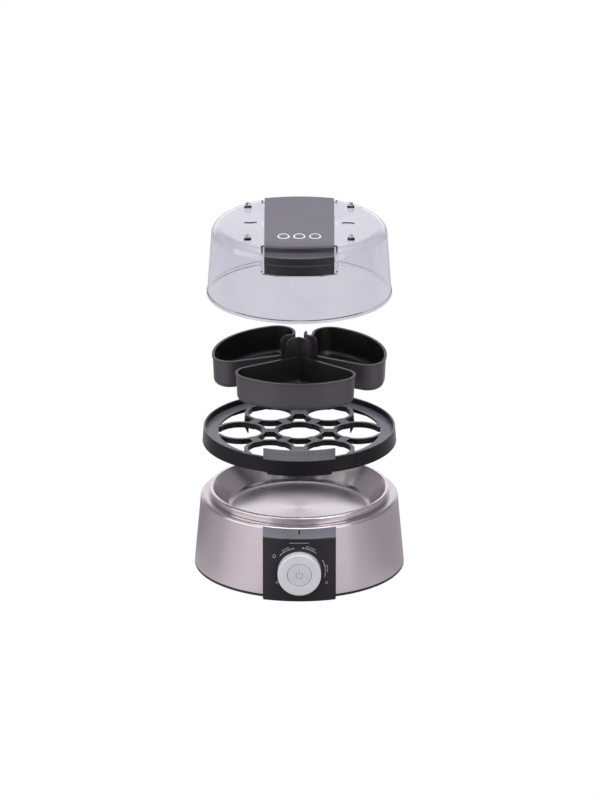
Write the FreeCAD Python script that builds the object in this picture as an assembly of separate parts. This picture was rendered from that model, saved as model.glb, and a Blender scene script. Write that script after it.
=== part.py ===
import FreeCAD, Part
import math
import os

# Electric egg cooker for seven eggs: heated base, egg rack, three poaching cups and clear lid.
# Millimetres, +Z up, front of the cooker towards -Y, origin at the centre of the resting plane.
# The pieces stand lifted apart on one axis, and their slides close the gaps.

V = FreeCAD.Vector
ORIGIN = V(0, 0, 0)
UP = V(0, 0, 1)
EDGE = 0.05            # clearance between fixed pieces that are pushed together
SEAT = 0.3             # gap left where a lifted piece comes to rest

# Base
FOOT_R = 95.0          # steel shell at its lower edge
FOOT_Z = 2.6
SHOULDER_R = 89.3      # steel shell at its upper edge
LEDGE_Z = 66.6
LEDGE_INNER_R = 81.0
SHEET = 0.8            # steel thickness
TRAY_FLOOR = 4.6       # upper face of the tray floor
BOWL_FLOOR_R = 64.7
BOWL_FLOOR_Z = 52.5
RIM_INNER_R = 78.4
RIM_OUTER_R = 82.0
RIM_Z = 73.0

# Control panel, knob and button; depths are distances in front of the axis
PANEL_HALF = 33.0
PANEL_R = 104.3
PANEL_Z = 61.5
COLLAR_HALF = 29.7
COLLAR_Z = 59.6
KNOB_Z = 29.5
KNOB_R = 19.6
KNOB_FACE = 112.8
KNOB_BACK = 102.6
BUTTON_R = 10.65
BUTTON_STEM_R = 4.0
BUTTON_TRAVEL = 1.5
BOARD_FRONT = 88.2
BOARD_T = 1.6
BOARD_LOW, BOARD_HIGH = 14.0, 57.5
BOARD_SCREWS = [(x, z) for x in (-24.3, 24.3) for z in (25.0, 53.0)]
PANEL_SCREW_X, PANEL_SCREW_D = 14.0, 89.0
LAMP_X = -20.0
LAMP_Z = 19.0

# Heater under the bowl
PLATE_R = 56.0
PLATE_TOP = BOWL_FLOOR_Z - SHEET
PLATE_T = 3.2
STANDOFF_R = 49.0
HEATER_R = 36.0
HEATER_TUBE_R = 3.3
CORD_R = 3.6
CORD_Z = 16.0

# Egg rack, in heights above its top plane
RACK_Z = 127.2
SKIRT_R = 87.9
SKIRT_DROP = 9.4
FLANGE_INNER_R = 73.5
FLANGE_T = 2.0
SEAT_RIB = 1.2
EGG_R = 20.0
EGG_PITCH = 53.2
RING_WALL = 3.0
WEB = 5.0
LEG_DROP = 17.0
LEG_X, LEG_Y = 48.0, 38.6
GRIP_HALF = 32.5

# Poaching cups
CUP_Z = 173.7
CUP_H = 27.0
CUP_R = 79.2
CUP_HALF_ANGLE = 55.0
CUP_TURN = -4.0
CUP_WALL = 1.5
CUP_TAB_H = 18.5
CUP_TAB_RUN = 13.6

# Lid, in heights above its rim
LID_Z = 260.1
LID_RIM_R = 83.8
LID_FOOT_R = 83.2
LID_TOP_R = 78.9
LID_EDGE_H = 65.9
LID_TOP_H = 68.2
LID_WALL = 1.7
SLOT_X = 44.1
STUD_X = 46.5
STUD_Y = 43.0
STUD_H = 71.0
POCKET_HALF = 32.7
POCKET_DEPTH = 58.5
POCKET_FLOOR = 44.8
HANDLE_HALF = 31.5
HANDLE_REACH = 65.5
HANDLE_REAR_REACH = 66.5
HANDLE_FRONT_ARC = 190.0
HANDLE_REAR_ARC = 110.0
HANDLE_NOSE_R = 4.0
HANDLE_UNDER_H = 65.4
HANDLE_H = 69.6
GRIP_R = 80.8
GRIP_TOP = 61.5

# Lifts that close the gaps when the cooker is put together
RACK_LIFT = RACK_Z - (RIM_Z + SEAT + SEAT_RIB + FLANGE_T)
CUPS_LIFT = CUP_Z - RACK_Z - SEAT
LID_LIFT = LID_Z - RACK_Z - SEAT - CUPS_LIFT


def corner_edges(points):
    """Straight edges through (point, radius) pairs, each corner rounded to its radius."""
    starts, ends, edges = [], [], []
    count = len(points)
    for i, (here, radius) in enumerate(points):
        to_last = (points[i - 1][0] - here).normalize()
        to_next = (points[(i + 1) % count][0] - here).normalize()
        if radius == 0:
            starts.append(here)
            ends.append(here)
            continue
        half = to_last.getAngle(to_next) / 2
        middle = (to_last + to_next).normalize()
        reach = radius / math.tan(half)
        starts.append(here + to_last * reach)
        ends.append(here + to_next * reach)
        centre = here + middle * (radius / math.sin(half))
        edges.append(Part.Arc(starts[i], centre - middle * radius, ends[i]).toShape())
    for i in range(count):
        start, end = ends[i], starts[(i + 1) % count]
        if start.distanceToPoint(end) > 1e-6:
            edges.append(Part.LineSegment(start, end).toShape())
    return edges


def face_of(points):
    return Part.Face(Part.Wire(Part.__sortEdges__(corner_edges(points))))


def with_radius(point):
    return point if len(point) == 3 else point + (0,)


def spin(profile, angle=360):
    """Solid turned about Z from (radius, height[, corner radius]) points."""
    points = [(V(r, 0, z), c) for r, z, c in map(with_radius, profile)]
    return face_of(points).revolve(ORIGIN, UP, angle)


def spin_forward(profile, x, z):
    """Solid turned about an axis along -Y through (x, z) from (radius, depth[, corner]) points."""
    points = [(V(x + r, -d, z), c) for r, d, c in map(with_radius, profile)]
    return face_of(points).revolve(V(x, 0, z), V(0, -1, 0), 360)


def slab(outline, z0, z1):
    """Plan outline of (x, y[, corner radius]) points, raised from z0 to z1."""
    points = [(V(x, y, z0), c) for x, y, c in map(with_radius, outline)]
    return face_of(points).extrude(V(0, 0, z1 - z0))


def front_slab(outline, d0, d1):
    """Front outline of (x, z[, corner radius]) points, from depth d0 to depth d1."""
    points = [(V(x, -d0, z), c) for x, z, c in map(with_radius, outline)]
    return face_of(points).extrude(V(0, d0 - d1, 0))


def side_slab(outline, half):
    """Side outline of (y, z[, corner radius]) points, as wide as twice half."""
    points = [(V(-half, y, z), c) for y, z, c in map(with_radius, outline)]
    return face_of(points).extrude(V(2 * half, 0, 0))


def block(x0, x1, y0, y1, z0, z1):
    return Part.makeBox(x1 - x0, y1 - y0, z1 - z0, V(x0, y0, z0))


def post(radius, x, y, z0, z1):
    return Part.makeCylinder(radius, z1 - z0, V(x, y, z0), UP)


def forward_post(radius, x, z, d0, d1):
    return Part.makeCylinder(radius, d1 - d0, V(x, -d0, z), V(0, -1, 0))


def turned(shape, degrees):
    copy = shape.copy()
    copy.rotate(ORIGIN, UP, degrees)
    return copy


def raised(shape, height):
    copy = shape.copy()
    copy.translate(V(0, 0, height))
    return copy


def round_places(radius, count, first=0):
    for i in range(count):
        angle = math.radians(first + i * 360 / count)
        yield radius * math.cos(angle), radius * math.sin(angle)


def screw(x, y, head_z, tip_z, radius=1.5, head_r=2.8, head_t=1.8):
    """Upright screw, head below and tip above."""
    return post(head_r, x, y, head_z, head_z + head_t).fuse(post(radius, x, y, head_z, tip_z))


def wire_lead(points, bend, radius=1.0):
    """Insulated lead of straight runs joined by arcs of the same bend."""
    path, here = [], points[0]
    for last, corner, nxt in zip(points, points[1:], points[2:]):
        to_last, to_next = (last - corner).normalize(), (nxt - corner).normalize()
        half = to_last.getAngle(to_next) / 2
        middle = (to_last + to_next).normalize()
        start, end = (corner + d * (bend / math.tan(half)) for d in (to_last, to_next))
        top = corner + middle * (bend / math.sin(half) - bend)
        path += [Part.LineSegment(here, start).toShape(), Part.Arc(start, top, end).toShape()]
        here = end
    path.append(Part.LineSegment(here, points[-1]).toShape())
    section = Part.Wire(Part.makeCircle(radius, points[0], points[1] - points[0]))
    return Part.Wire(path).makePipeShell([section], True, True)


def shell_r(z):
    """Outer radius of the steel shell at height z."""
    share = (z - FOOT_Z) / (LEDGE_Z - FOOT_Z)
    return FOOT_R + share * (SHOULDER_R - FOOT_R)


# ---------------------------------------------------------------- base

def outer_shell():
    shell = spin([
        (shell_r(FOOT_Z), FOOT_Z), (SHOULDER_R, LEDGE_Z, 3.0), (LEDGE_INNER_R, LEDGE_Z),
        (LEDGE_INNER_R, LEDGE_Z - SHEET), (SHOULDER_R - SHEET, LEDGE_Z - SHEET, 2.2),
        (FOOT_R - SHEET, FOOT_Z)])
    window = block(-COLLAR_HALF - 0.3, COLLAR_HALF + 0.3, -110, 0, TRAY_FLOOR + 0.1, COLLAR_Z + 2.4)
    cord_hole = Part.makeCylinder(6.5, 20, V(0, 80, CORD_Z), V(0, 1, 0))
    return shell.cut(window).cut(cord_hole)


def water_bowl():
    lean = math.atan2(RIM_Z - BOWL_FLOOR_Z, RIM_INNER_R - BOWL_FLOOR_R)
    side = SHEET / math.sin(lean)
    drop = SHEET / math.tan(lean)
    rim_under = RIM_Z - SHEET
    return spin([
        (0, BOWL_FLOOR_Z), (BOWL_FLOOR_R, BOWL_FLOOR_Z, 7),
        (RIM_INNER_R, RIM_Z, 1.0), (RIM_OUTER_R, RIM_Z, 1.5), (RIM_OUTER_R, LEDGE_Z + 0.3),
        (RIM_OUTER_R - SHEET, LEDGE_Z + 0.3), (RIM_OUTER_R - SHEET, rim_under, 0.7),
        (RIM_INNER_R + side - drop, rim_under, 0.2),
        (BOWL_FLOOR_R + side - drop, PLATE_TOP, 7.8), (0, PLATE_TOP)])


def bowl_seal():
    inner = LEDGE_INNER_R - 1.2
    return spin([
        (inner, LEDGE_Z - 1.6), (82.5, LEDGE_Z - 1.6), (82.5, LEDGE_Z - SHEET),
        (LEDGE_INNER_R, LEDGE_Z - SHEET), (LEDGE_INNER_R, LEDGE_Z), (82.0, LEDGE_Z),
        (82.0, LEDGE_Z + 0.25), (LEDGE_INNER_R, LEDGE_Z + 0.25), (LEDGE_INNER_R, LEDGE_Z + 3.4),
        (inner, LEDGE_Z + 3.4)])


def base_tray():
    wall_r = FOOT_R - SHEET - 0.15
    tray = spin([
        (0, FOOT_Z), (93.0, FOOT_Z), (93.0, 0), (FOOT_R, 0, 0.6), (FOOT_R, FOOT_Z - EDGE),
        (wall_r, FOOT_Z - EDGE), (shell_r(14) - SHEET - 0.15, 14), (91.0, 14),
        (91.8, TRAY_FLOOR), (0, TRAY_FLOOR)])
    tray = tray.cut(block(-COLLAR_HALF - 0.3, COLLAR_HALF + 0.3, -110, -60, TRAY_FLOOR, 20))
    for x, y in round_places(STANDOFF_R, 3, 90):
        tray = tray.fuse(post(6.0, x, y, FOOT_Z, 9.0))
        tray = tray.cut(post(4.2, x, y, FOOT_Z - 1, 6.2)).cut(post(2.3, x, y, 0, 12))
    for x in (-PANEL_SCREW_X, PANEL_SCREW_X):
        tray = tray.cut(post(1.7, x, -PANEL_SCREW_D, 0, 8))
    tray = tray.cut(Part.makeCylinder(8.6, 10, V(0, 88, CORD_Z), V(0, 1, 0)))
    slot = slab([(14, -1.3, 1.2), (34, -1.3, 1.2), (34, 1.3, 1.2), (14, 1.3, 1.2)], 0, 6)
    for i in range(12):
        tray = tray.cut(turned(slot, 15 + 30 * i))
    return tray


def foot_pads():
    pad = spin([(0, 0), (7.0, 0, 0.8), (7.0, FOOT_Z), (0, FOOT_Z)])
    return Part.makeCompound([turned(raised_by(pad, 78, 0), 45 + 90 * i) for i in range(4)])


def raised_by(shape, x, y):
    copy = shape.copy()
    copy.translate(V(x, y, 0))
    return copy


def control_panel():
    skin = spin([
        (80, 0.8), (PANEL_R, 0.8, 1.2), (PANEL_R, PANEL_Z, 1.6),
        (SHOULDER_R, LEDGE_Z - 0.9), (80, LEDGE_Z - 0.9)])
    skin = skin.common(front_slab([
        (-PANEL_HALF, 0, 3), (PANEL_HALF, 0, 3), (PANEL_HALF, 80), (-PANEL_HALF, 80)], 0, 120))
    hollow = spin([(80, 3.2), (101.9, 3.2), (101.9, 59.6), (SHOULDER_R, 62.6), (80, 62.6)])
    half = PANEL_HALF - 2.4
    skin = skin.cut(hollow.common(block(-half, half, -120, 0, 0, 80)))
    shell_body = spin([(0, 0), (shell_r(0) + EDGE, 0), (SHOULDER_R + EDGE, LEDGE_Z), (0, LEDGE_Z)])
    skin = skin.cut(shell_body)
    collar = spin([(88.3, TRAY_FLOOR + 0.2), (98, TRAY_FLOOR + 0.2), (98, 61.8), (88.3, 61.8)])
    collar = collar.common(block(-COLLAR_HALF, COLLAR_HALF, -120, 0, 0, 80))
    inner = COLLAR_HALF - 2
    collar = collar.cut(block(-inner, inner, -120, 0, TRAY_FLOOR + 2.2, COLLAR_Z))
    bosses = [forward_post(23, 0, KNOB_Z, 98.5, 103.0)]
    bosses += [forward_post(2.6, x, z, BOARD_FRONT, 100.4) for x, z in BOARD_SCREWS]
    bosses += [post(3.4, x, -PANEL_SCREW_D, TRAY_FLOOR + 0.1, 13)
               for x in (-PANEL_SCREW_X, PANEL_SCREW_X)]
    panel = skin.fuse([collar] + bosses)
    panel = panel.cut(forward_post(20.4, 0, KNOB_Z, 102.3, 110))
    panel = panel.cut(forward_post(6.8, 0, KNOB_Z, 90, 110))
    panel = panel.cut(forward_post(1.65, LAMP_X, LAMP_Z, 90, 110))
    for x, z in BOARD_SCREWS:
        panel = panel.cut(forward_post(1.15, x, z, 80, 95))
    for x in (-PANEL_SCREW_X, PANEL_SCREW_X):
        panel = panel.cut(post(1.55, x, -PANEL_SCREW_D, 0, 12))
    return panel.cut(front_slab([(-0.7, 60), (0.7, 60), (0.7, 70), (-0.7, 70)], 85, 97.5)
                     .common(spin([(80, 64.6), (98, 61.6), (98, 70), (80, 70)])))


def indicator_lens():
    return spin_forward([(0, 94.5), (1.6, 94.5), (1.6, 102.8, 0.5), (0, 102.8)], LAMP_X, LAMP_Z)


def heater_plate():
    plate = post(PLATE_R, 0, 0, PLATE_TOP - PLATE_T, PLATE_TOP)
    for x, y in round_places(STANDOFF_R, 3, 90):
        plate = plate.cut(post(2.0, x, y, PLATE_TOP - PLATE_T - 1, PLATE_TOP - 1))
    return plate


def heater_element():
    z = PLATE_TOP - PLATE_T - HEATER_TUBE_R
    section = Part.Face(Part.Wire(Part.makeCircle(HEATER_TUBE_R, V(HEATER_R, 0, z), V(0, 1, 0))))
    tube = turned(section.revolve(ORIGIN, UP, 300), 120)
    for x, y in (turned_point(HEATER_R, 60), turned_point(HEATER_R, 120)):
        tube = tube.fuse(post(HEATER_TUBE_R, x, y, z - 14, z)).fuse(post(1.5, x, y, z - 20, z))
        tube = tube.fuse(Part.makeSphere(HEATER_TUBE_R, V(x, y, z)))
    return tube


def turned_point(radius, degrees):
    return radius * math.cos(math.radians(degrees)), radius * math.sin(math.radians(degrees))


def plate_standoffs():
    top = PLATE_TOP - PLATE_T
    pieces = []
    for x, y in round_places(STANDOFF_R, 3, 90):
        body = post(4.0, x, y, 9.05, top).fuse(post(1.95, x, y, top, top + 2.0))
        pieces.append(body.cut(post(2.05, x, y, 8, 26)))
    return Part.makeCompound(pieces)


def tray_screws():
    return Part.makeCompound([screw(x, y, 3.2, 24, 2.0, 3.8, 2.9)
                              for x, y in round_places(STANDOFF_R, 3, 90)])


def thermostat():
    top = PLATE_TOP - PLATE_T
    body = post(8.0, 0, 0, top - 8.0, top)
    for x in (-4, 4):
        body = body.fuse(block(x - 0.4, x + 0.4, -3, 3, top - 15, top - 8))
    return body


def thermostat_bracket():
    top = PLATE_TOP - PLATE_T
    strap = side_slab([(-26, top), (-26, top - 9.2), (26, top - 9.2), (26, top), (24.8, top),
                       (24.8, top - 8.1), (-24.8, top - 8.1), (-24.8, top)], 5)
    for x in (-4, 4):
        strap = strap.cut(block(x - 0.8, x + 0.8, -3.4, 3.4, top - 12, top - 5))
    return strap


def thermal_fuse():
    z = PLATE_TOP - PLATE_T - 2.1
    return Part.makeCylinder(2.0, 16, V(14, -8, z), UP.cross(V(-1, 0, 0)))


def control_board():
    board = front_slab([(-27.3, BOARD_LOW, 1), (27.3, BOARD_LOW, 1), (27.3, BOARD_HIGH, 1),
                        (-27.3, BOARD_HIGH, 1)], BOARD_FRONT - BOARD_T, BOARD_FRONT)
    for x, z in BOARD_SCREWS:
        board = board.cut(forward_post(1.2, x, z, 80, 95))
    return board


def board_screws():
    back = BOARD_FRONT - BOARD_T
    return Part.makeCompound([
        forward_post(2.3, x, z, back - 1.6, back).fuse(forward_post(1.1, x, z, back - 1.6, 94.5))
        for x, z in BOARD_SCREWS])


def panel_screws():
    return Part.makeCompound([screw(x, -PANEL_SCREW_D, 1.2, 11.5, 1.5, 2.6, 1.4)
                              for x in (-PANEL_SCREW_X, PANEL_SCREW_X)])


def rotary_sensor():
    return spin_forward([(6.08, BOARD_FRONT), (12.5, BOARD_FRONT), (12.5, 96.0, 0.8),
                         (6.08, 96.0)], 0, KNOB_Z)


def start_switch():
    body = block(-3, 3, -90.6, -BOARD_FRONT, KNOB_Z - 3, KNOB_Z + 3)
    return body.fuse(forward_post(1.7, 0, KNOB_Z, 90, 91.2))


def buzzer():
    return spin_forward([(0, BOARD_FRONT), (6, BOARD_FRONT), (6, 96.0, 0.6), (1.2, 96.0),
                         (1.2, 95.0), (0, 95.0)], 14, 49)


def indicator_led():
    return spin_forward([(0, BOARD_FRONT), (1.9, BOARD_FRONT), (1.9, 89.2), (1.5, 89.2),
                         (1.5, 94.0, 1.3), (0, 94.0)], LAMP_X, LAMP_Z)


def terminal_block():
    body = block(-18, 18, 58, 72, TRAY_FLOOR, 19)
    for x in (-12, 0, 12):
        body = body.cut(post(2.4, x, 65, 12, 20))
    return body


def cord_gland():
    back = V(0, 1, 0)
    gland = Part.makeCylinder(6.4, 8.5, V(0, 88, CORD_Z), back)
    gland = gland.fuse(Part.makeCylinder(8.2, 2.4, V(0, 94.7, CORD_Z), back))
    gland = gland.fuse(Part.makeCylinder(8.2, 1.6, V(0, 90.1, CORD_Z), back))
    return gland.cut(Part.makeCylinder(CORD_R, 30, V(0, 80, CORD_Z), back))


def cord_clamp():
    clamp = block(-12, 12, 76, 86, TRAY_FLOOR, 13)
    clamp = clamp.cut(Part.makeCylinder(CORD_R, 30, V(0, 70, CORD_Z - 2.2), V(0, 1, 0)))
    for x in (-8.5, 8.5):
        clamp = clamp.cut(post(1.55, x, 81, 0, 20))
    return clamp


def clamp_screws():
    return Part.makeCompound([post(1.5, x, 81, TRAY_FLOOR + 0.1, 13).fuse(post(2.8, x, 81, 13, 14.6))
                              for x in (-8.5, 8.5)])


def inner_leads():
    leads = []
    for sign in (-1, 1):
        x, y = turned_point(HEATER_R, 90 + sign * 30)
        leads.append(wire_lead([V(x, y, 25), V(x, y, 12), V(-sign * 12, 50, 12),
                                V(-sign * 12, 57.9, 12)], 3))
        leads.append(wire_lead([V(sign * 9, 57.9, 9), V(sign * 9, -83, 9), V(sign * 9, -83, 18),
                                V(sign * 9, -86.5, 18)], 1.2, 0.9))
    return Part.makeCompound(leads)


# ---------------------------------------------------------------- knob and button

def knob_ring():
    ring = spin_forward([
        (18.45, KNOB_BACK), (KNOB_R, KNOB_BACK), (KNOB_R, KNOB_FACE, 0.9),
        (11.05, KNOB_FACE, 0.4), (11.05, 104.9), (12.2, 104.9), (12.2, KNOB_FACE - 2),
        (18.45, KNOB_FACE - 2)], 0, KNOB_Z)
    return ring.cut(pointer_bar(0.6, KNOB_FACE - 0.8))


def pointer_bar(half, back):
    low = KNOB_Z + KNOB_R - 5.2
    return block(-half, half, -KNOB_FACE - 0.1, -back, low, KNOB_Z + KNOB_R - 1.2)


def knob_pointer():
    return pointer_bar(0.55, KNOB_FACE - 0.75)


def knob_hub():
    return spin_forward([
        (BUTTON_STEM_R + 0.08, 92.0), (6.0, 92.0), (6.0, 103.0), (18.35, 103.0), (18.35, 106.0),
        (16.8, 106.0), (16.8, 104.8), (BUTTON_STEM_R + 0.08, 104.8)], 0, KNOB_Z)


def start_button():
    return spin_forward([
        (0, 93.0), (BUTTON_STEM_R, 93.0), (BUTTON_STEM_R, 108.4), (BUTTON_R, 108.4),
        (BUTTON_R, KNOB_FACE - 0.2, 0.6), (0, KNOB_FACE - 0.2)], 0, KNOB_Z)


def button_spring():
    """Flat wave spring between the hub and the button head."""
    turns = []
    for i in range(3):
        depth = 105.1 + 1.15 * i
        turns.append(spin_forward([(7.0, depth), (9.6, depth), (9.6, depth + 0.5),
                                   (7.0, depth + 0.5)], 0, KNOB_Z))
        if i < 2:
            for side in (-1, 1):
                flip = side if i == 0 else -side
                turns.append(forward_post(1.0, 8.3 * flip, KNOB_Z, depth + 0.4, depth + 1.25))
    spring = turns[0]
    for piece in turns[1:]:
        spring = spring.fuse(piece)
    return spring


# ---------------------------------------------------------------- egg rack

def egg_centres():
    return [(0.0, 0.0)] + list(round_places(EGG_PITCH, 6))


def rack_grip():
    """Finger grip over the front edge of the rack; the rear one is its mirror image."""
    drop = SKIRT_DROP + 0.8
    skin = spin([
        (89.7, -drop), (91.5, -drop, 0.6), (91.5, -2.3), (92.1, -1.9), (92.7, 4.6, 0.5),
        (86.0, 12.2, 0.5), (84.2, 12.2), (84.2, -FLANGE_T), (89.7, -FLANGE_T)])
    inside = spin([(86.4, -FLANGE_T - 1), (90.2, -FLANGE_T - 1), (90.6, 3.4), (86.4, 8.6)])
    outline = front_slab([
        (-GRIP_HALF, -1.5), (3 - GRIP_HALF, -5.5), (3 - GRIP_HALF, -drop, 2.5),
        (GRIP_HALF - 3, -drop, 2.5), (GRIP_HALF - 3, -5.5), (GRIP_HALF, -1.5),
        (GRIP_HALF, 14), (-GRIP_HALF, 14)], 0, 120)
    inner = block(2 - GRIP_HALF, GRIP_HALF - 2, -120, 0, -20, 20)
    notch = front_slab([(-1.2, -drop), (1.2, -drop), (0, 1.6 - drop)], 60, 120)
    return skin.common(outline).cut(inside.common(inner)).cut(notch)


def rack_leg(x, y):
    """Pointed leg, a blade that tapers on two sides down to its inner edge."""
    half = 1.9
    blade = slab([(-3, -half), (3, -half), (3, half), (-3, half)], -LEG_DROP, -FLANGE_T)
    blade = blade.common(front_slab([(-3, -1), (3, -1), (3, 5 - LEG_DROP), (0.6, -LEG_DROP),
                                     (-0.6, -LEG_DROP), (-3, -9)], -5, 5))
    blade = blade.common(side_slab([(-half, -1), (half, -1), (half, -LEG_DROP),
                                    (half - 0.9, -LEG_DROP), (-half, 7 - LEG_DROP)], 5))
    blade.rotate(ORIGIN, UP, 90 if x > 0 else -90)
    blade.translate(V(x, y, 0))
    return blade


def egg_rack():
    skirt = spin([
        (FLANGE_INNER_R, -FLANGE_T), (RIM_INNER_R + 0.6, -FLANGE_T),
        (RIM_INNER_R + 0.6, -FLANGE_T - SEAT_RIB), (RIM_OUTER_R - 1, -FLANGE_T - SEAT_RIB),
        (RIM_OUTER_R - 1, -FLANGE_T), (SKIRT_R - 2.2, -FLANGE_T), (SKIRT_R - 1.8, -SKIRT_DROP),
        (SKIRT_R, -SKIRT_DROP, 0.4), (SKIRT_R - 1.1, 5.2, 0.8), (SKIRT_R - 2.9, 5.2, 0.8),
        (SKIRT_R - 3.0, 0), (FLANGE_INNER_R, 0)])
    outer = EGG_R + RING_WALL
    solids = [skirt]
    solids += [raised_by(post(outer, 0, 0, -WEB, 0), x, y) for x, y in egg_centres()]
    bar = block(EGG_R + 0.5, EGG_PITCH - EGG_R - 0.5, -4.2, 4.2, -WEB, 0)
    for x, y in egg_centres():
        for angle in range(0, 360, 60):
            if facing_inwards(x, y, angle):
                solids.append(raised_by(turned(bar, angle), x, y))
    post_bar = block(EGG_PITCH * math.sin(math.radians(60)) - 2, FLANGE_INNER_R + 2, -4.2, 4.2,
                     -WEB, 0)
    solids += [turned(post_bar, 90), turned(post_bar, -90)]
    solids += [rack_leg(x * LEG_X, y * LEG_Y) for x in (-1, 1) for y in (-1, 1)]
    grip = rack_grip()
    solids += [grip, turned(grip, 180)]
    rack = solids[0].fuse(solids[1:])
    for x, y in egg_centres():
        rack = rack.cut(post(EGG_R, x, y, -WEB - 1, 1))
    blunt_end = block(EGG_PITCH + 12, FLANGE_INNER_R - 0.3, -8.4, 8.4, -WEB - 1, 1)
    for angle in range(0, 360, 60):
        rack = rack.cut(turned(blunt_end, angle))
    rack = rack.fuse([egg_nub(x, y, angle) for x, y in egg_centres()
                      for angle in range(0, 360, 60) if facing_inwards(x, y, angle)])
    return raised(rack.removeSplitter(), RACK_Z)


def facing_inwards(x, y, degrees):
    """True where the next hole in this direction is one of the rack's seven."""
    nx, ny = turned_point(EGG_PITCH, degrees)
    return math.hypot(x + nx, y + ny) < EGG_PITCH + 1


def egg_nub(x, y, degrees):
    nub = slab([(EGG_R - 0.9, -2.5, 0.6), (EGG_R + 1.5, -3.6), (EGG_R + 1.5, 3.6),
                (EGG_R - 0.9, 2.5, 0.6)], -WEB, 0)
    return raised_by(turned(nub, degrees), x, y)


# ---------------------------------------------------------------- poaching cups

def wedge_wire(apex, radius, corner, tip, z):
    """Rounded wedge in plan, pointing at the axis and opening along +X."""
    half = math.radians(CUP_HALF_ANGLE)
    along = V(math.cos(half), math.sin(half), 0)
    inward = V(math.sin(half), -math.cos(half), 0)
    start = V(apex, 0, 0)
    base = start + inward * corner
    reach = radius - corner
    mid = base.dot(along)
    run = -mid + math.sqrt(mid * mid - base.dot(base) + reach * reach)
    centre = base + along * run
    on_wall = start + along * run
    on_arc = centre * (radius / reach)
    bulge = centre + (on_wall + on_arc - centre * 2).normalize() * corner
    tip_centre = V(apex + tip / math.sin(half), 0, 0)
    tip_end = tip_centre - inward * tip
    mirror = lambda p: V(p.x, -p.y, z)
    here = lambda p: V(p.x, p.y, z)
    edges = [
        Part.LineSegment(here(tip_end), here(on_wall)),
        Part.Arc(here(on_wall), here(bulge), here(on_arc)),
        Part.Arc(here(on_arc), V(radius, 0, z), mirror(on_arc)),
        Part.Arc(mirror(on_arc), mirror(bulge), mirror(on_wall)),
        Part.LineSegment(mirror(on_wall), mirror(tip_end)),
        Part.Arc(mirror(tip_end), V(tip_centre.x - tip, 0, z), here(tip_end))]
    return Part.Wire([edge.toShape() for edge in edges])


def wedge(inset, z0, z1, draft=0.0):
    """Wedge drawn in from the cup's outline by inset, leaning in by draft at its foot."""
    half = math.radians(CUP_HALF_ANGLE)
    wires = []
    for z, gap in ((z0, inset + draft), (z1, inset)):
        wires.append(wedge_wire(3.2 + gap / math.sin(half), CUP_R - gap, 16.5 - gap,
                                max(4.7 - gap, 2.5), z))
    return Part.makeLoft(wires, True, True)


def rounded_foot(shape, z, radius):
    edges = [e for e in shape.Edges if all(abs(v.Point.z - z) < 1e-4 for v in e.Vertexes)]
    return shape.makeFillet(radius, edges)


def cup_tab():
    """V-shaped lifting tab: the two straight walls carried on above the rim."""
    top = CUP_H + CUP_TAB_H
    band = wedge(0.7, CUP_H - 2, top).cut(wedge(0.7 + CUP_WALL, CUP_H - 3, top + 1))
    half = math.radians(CUP_HALF_ANGLE)
    curtain = []
    for side in (-1, 1):
        piece = front_slab([(-8, CUP_H - 2), (CUP_TAB_RUN, CUP_H - 2), (CUP_TAB_RUN, top, 6.5),
                            (-8, top)], -2.6, 2.6)
        piece.rotate(ORIGIN, UP, math.degrees(half) * side)
        piece.translate(V(4.8, 0, 0))
        curtain.append(band.common(piece))
    return curtain[0].fuse(curtain[1])


def poaching_cup(degrees):
    outside = rounded_foot(wedge(0.7, 0, CUP_H, 1.2), 0, 6.5)
    inside = rounded_foot(wedge(0.7 + CUP_WALL, CUP_WALL, CUP_H + 5, 1.2), CUP_WALL, 5.0)
    lip = wedge(0, CUP_H - 1.0, CUP_H)
    cup = outside.fuse(lip).cut(inside).fuse(cup_tab()).removeSplitter()
    return raised(turned(cup, degrees + CUP_TURN), CUP_Z)


# ---------------------------------------------------------------- lid

def lid_outside():
    return spin([
        (0, 0), (LID_RIM_R, 0, 0.5), (LID_RIM_R, 3.0, 0.4), (LID_FOOT_R, 3.5),
        (LID_TOP_R, LID_EDGE_H, 10.0), (0, LID_TOP_H)])


def lid_hollow():
    foot = LID_FOOT_R - LID_WALL
    return spin([
        (0, -1), (LID_RIM_R - 1.8, -1), (LID_RIM_R - 1.8, 0), (foot, 3.5),
        (LID_TOP_R - LID_WALL, LID_EDGE_H - LID_WALL, 8.3), (0, LID_TOP_H - LID_WALL)])


def pocket(half, depth, floor):
    """Space at the front of the lid for a handle end; the rear one is its mirror image."""
    return block(-half, half, -100, -depth, floor, 80)


def lid_stud():
    """Small cone on the lid's top; the lid stands upside down on four of them."""
    return spin([(0, LID_TOP_H - 4), (3.4, LID_TOP_H - 4), (3.4, 66.8), (1.7, STUD_H, 0.7),
                 (0, STUD_H)])


def steam_slot():
    """Curved slot across the lid's right side, 11 mm from end to end."""
    bend, half, sweep = 12.0, 1.35, 44
    ring = spin([(bend - half, 55), (bend + half, 55), (bend + half, 80), (bend - half, 80)], sweep)
    ends = [post(half, *turned_point(bend, a), 55, 80) for a in (0, sweep)]
    return raised_by(turned(ring.fuse(ends), 90 - sweep / 2), SLOT_X, -bend)


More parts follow.
